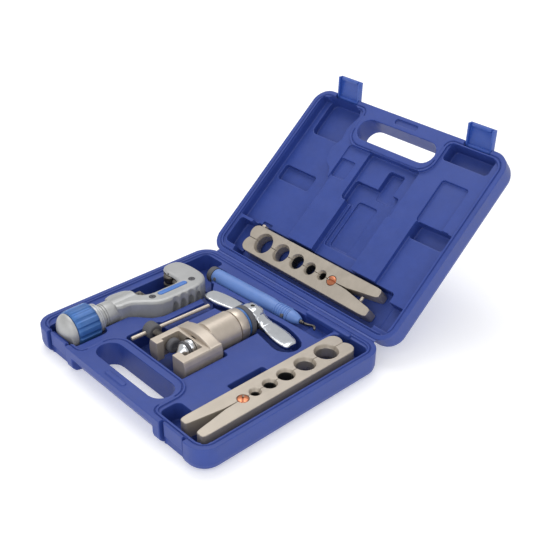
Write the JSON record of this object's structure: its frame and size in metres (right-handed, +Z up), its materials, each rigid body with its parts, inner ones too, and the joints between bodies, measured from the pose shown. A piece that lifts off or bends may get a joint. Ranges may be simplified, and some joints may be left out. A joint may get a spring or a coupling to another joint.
{
  "type": "flaring tool kit",
  "caption": "Moulded folding case holding an eccentric flaring tool, a tube cutter, two split flaring bars and a deburring pen.",
  "frame": {"origin": "on the floor under the middle of the base tray", "axes": "+X along the hinge to the right, +Y from the carrying handle to the hinge, +Z up"},
  "size_m": [0.24, 0.3741, 0.1731],
  "materials": {
    "case_blue": "fine moulded grain",
    "latch_blue": "smooth moulded",
    "nickel": "satin nickel plate",
    "chrome": "polished chrome plate",
    "cast_grey": "die-cast, tumbled satin",
    "knob_blue": "satin blue finish",
    "pen_blue": "satin",
    "black_plastic": "satin black",
    "dark_steel": "oiled steel",
    "copper": "copper-coloured plate"
  },
  "bodies": {
    "case_base": {"base_tray": "case_blue", "hinge_strip": "case_blue"},
    "lid": {"case_lid": "case_blue"},
    "latch_left": {"latch_left": "latch_blue"},
    "latch_right": {"latch_right": "latch_blue"},
    "lid_bar": {"lid_bar_jaw_lower": "nickel", "lid_bar_pivot_pin": "copper", "lid_bar_spring_stud": "nickel"},
    "lid_bar_jaw": {"lid_bar_jaw_upper": "nickel", "lid_bar_stop_nib": "nickel"},
    "cutter": {"cutter_frame": "cast_grey", "cutter_inlay": "knob_blue", "cutter_frame_screw_front": "black_plastic", "cutter_frame_screw_rear": "black_plastic", "cutter_roller_pin_left": "dark_steel", "cutter_roller_pin_right": "dark_steel"},
    "cutter_knob": {"cutter_knob_sleeve": "knob_blue", "cutter_knob_cap": "cast_grey", "cutter_knob_ring": "cast_grey", "cutter_feed_screw": "dark_steel"},
    "cutter_slide": {"cutter_wheel_slide": "dark_steel", "cutter_wheel_pin": "dark_steel"},
    "cutter_wheel": {"cutter_wheel": "chrome"},
    "cutter_roller_left": {"cutter_roller_left": "dark_steel"},
    "cutter_roller_right": {"cutter_roller_right": "dark_steel"},
    "flare_tool": {"flare_yoke": "nickel", "flare_barrel_cap": "nickel", "flare_seal_ring": "knob_blue"},
    "flare_clutch": {"flare_clutch_collar": "black_plastic"},
    "flare_drive": {"flare_spindle": "dark_steel", "flare_handle": "chrome", "flare_handle_pin": "dark_steel", "flare_cone_holder": "chrome", "flare_cone_ring": "black_plastic"},
    "flare_cone": {"flare_cone": "chrome"},
    "flare_clamp_shoe": {"flare_clamp_shoe": "black_plastic"},
    "flare_clamp": {"flare_clamp_screw": "dark_steel", "flare_clamp_knob": "black_plastic", "flare_tommy_bar": "nickel"},
    "base_bar": {"base_bar_jaw_left": "nickel", "base_bar_pivot_pin": "copper"},
    "base_bar_jaw": {"base_bar_jaw_right": "nickel"},
    "pen": {"pen_end_cap": "black_plastic", "pen_body": "pen_blue", "pen_nose": "pen_blue"},
    "pen_blade": {"pen_blade_chuck": "dark_steel", "pen_blade": "dark_steel"}
  },
  "joints": [
    {"name": "lid_hinge", "type": "hinge", "parent": "case_base", "child": "lid", "pos_m": [0, 0.1031, 0.024], "axis": [-1, 0, 0], "range_deg": [-140, 0]},
    {"name": "latch_left_hinge", "type": "hinge", "parent": "lid", "child": "latch_left", "pos_m": [-0.082, 0.26245, 0.15053], "axis": [1, 0, 0], "range_deg": [-48, 42]},
    {"name": "latch_right_hinge", "type": "hinge", "parent": "lid", "child": "latch_right", "pos_m": [0.082, 0.26245, 0.15053], "axis": [1, 0, 0], "range_deg": [-48, 42]},
    {"name": "lid_bar_lift", "type": "slide", "parent": "lid", "child": "lid_bar", "axis": [0, -0.6428, 0.766], "range_m": [0, 0.03]},
    {"name": "lid_bar_pivot", "type": "hinge", "parent": "lid_bar", "child": "lid_bar_jaw", "pos_m": [0.028, 0.13393, 0.03316], "axis": [0, 0.6428, -0.766], "range_deg": [0, 1.2]},
    {"name": "cutter_lift", "type": "slide", "parent": "case_base", "child": "cutter", "axis": [0, 0, 1], "range_m": [0, 0.045]},
    {"name": "cutter_knob_turn", "type": "hinge", "parent": "cutter", "child": "cutter_knob", "pos_m": [-0.0845, -0.07, 0.024], "axis": [0, 1, 0], "range_deg": [0, 3960]},
    {"name": "cutter_feed", "type": "slide", "parent": "cutter", "child": "cutter_slide", "axis": [0, 1, 0], "range_m": [0, 0.022]},
    {"name": "cutter_wheel_spin", "type": "hinge", "parent": "cutter_slide", "child": "cutter_wheel", "pos_m": [-0.0845, -0.009, 0.024], "axis": [0, 0, 1], "continuous": true},
    {"name": "cutter_roller_left_spin", "type": "hinge", "parent": "cutter", "child": "cutter_roller_left", "pos_m": [-0.0915, 0.031, 0.024], "axis": [0, 0, 1], "continuous": true},
    {"name": "cutter_roller_right_spin", "type": "hinge", "parent": "cutter", "child": "cutter_roller_right", "pos_m": [-0.0775, 0.031, 0.024], "axis": [0, 0, 1], "continuous": true},
    {"name": "flaring_tool_lift", "type": "slide", "parent": "case_base", "child": "flare_tool", "axis": [0, 0, 1], "range_m": [0, 0.045]},
    {"name": "flare_handle_turn", "type": "hinge", "parent": "flare_tool", "child": "flare_clutch", "pos_m": [0.0065, 0.04, 0.023], "axis": [0, -1, 0], "range_deg": [0, 15]},
    {"name": "flare_feed", "type": "slide", "parent": "flare_clutch", "child": "flare_drive", "axis": [0, -1, 0], "range_m": [0, 0.00012]},
    {"name": "flare_cone_spin", "type": "hinge", "parent": "flare_drive", "child": "flare_cone", "pos_m": [0.0075, -0.033, 0.023], "axis": [0, 1, 0], "continuous": true},
    {"name": "flare_clamp_feed", "type": "slide", "parent": "flare_tool", "child": "flare_clamp_shoe", "axis": [1, 0, 0], "range_m": [0, 0.0003]},
    {"name": "flare_clamp_turn", "type": "hinge", "parent": "flare_clamp_shoe", "child": "flare_clamp", "pos_m": [-0.0375, -0.0305, 0.023], "axis": [1, 0, 0], "range_deg": [0, 70]},
    {"name": "base_bar_lift", "type": "slide", "parent": "case_base", "child": "base_bar", "axis": [0, 0, 1], "range_m": [0, 0.045]},
    {"name": "base_bar_pivot", "type": "hinge", "parent": "base_bar", "child": "base_bar_jaw", "pos_m": [0.0921, -0.0365, 0.02], "axis": [0, 0, -1], "range_deg": [0, 2]},
    {"name": "pen_lift", "type": "slide", "parent": "case_base", "child": "pen", "axis": [0, 0, 1], "range_m": [0, 0.03]},
    {"name": "pen_blade_spin", "type": "hinge", "parent": "pen", "child": "pen_blade", "pos_m": [0.04231, 0.07931, 0.021], "axis": [0.9984, 0.0558, 0], "continuous": true}
  ],
  "couplings": [
    {"joint": "cutter_feed", "follows": "cutter_knob_turn", "m_per_rad": 0.00031831},
    {"joint": "flare_feed", "follows": "flare_handle_turn", "m_per_rad": 0.00039789},
    {"joint": "flare_clamp_feed", "follows": "flare_clamp_turn", "m_per_rad": 0.00023873}
  ]
}
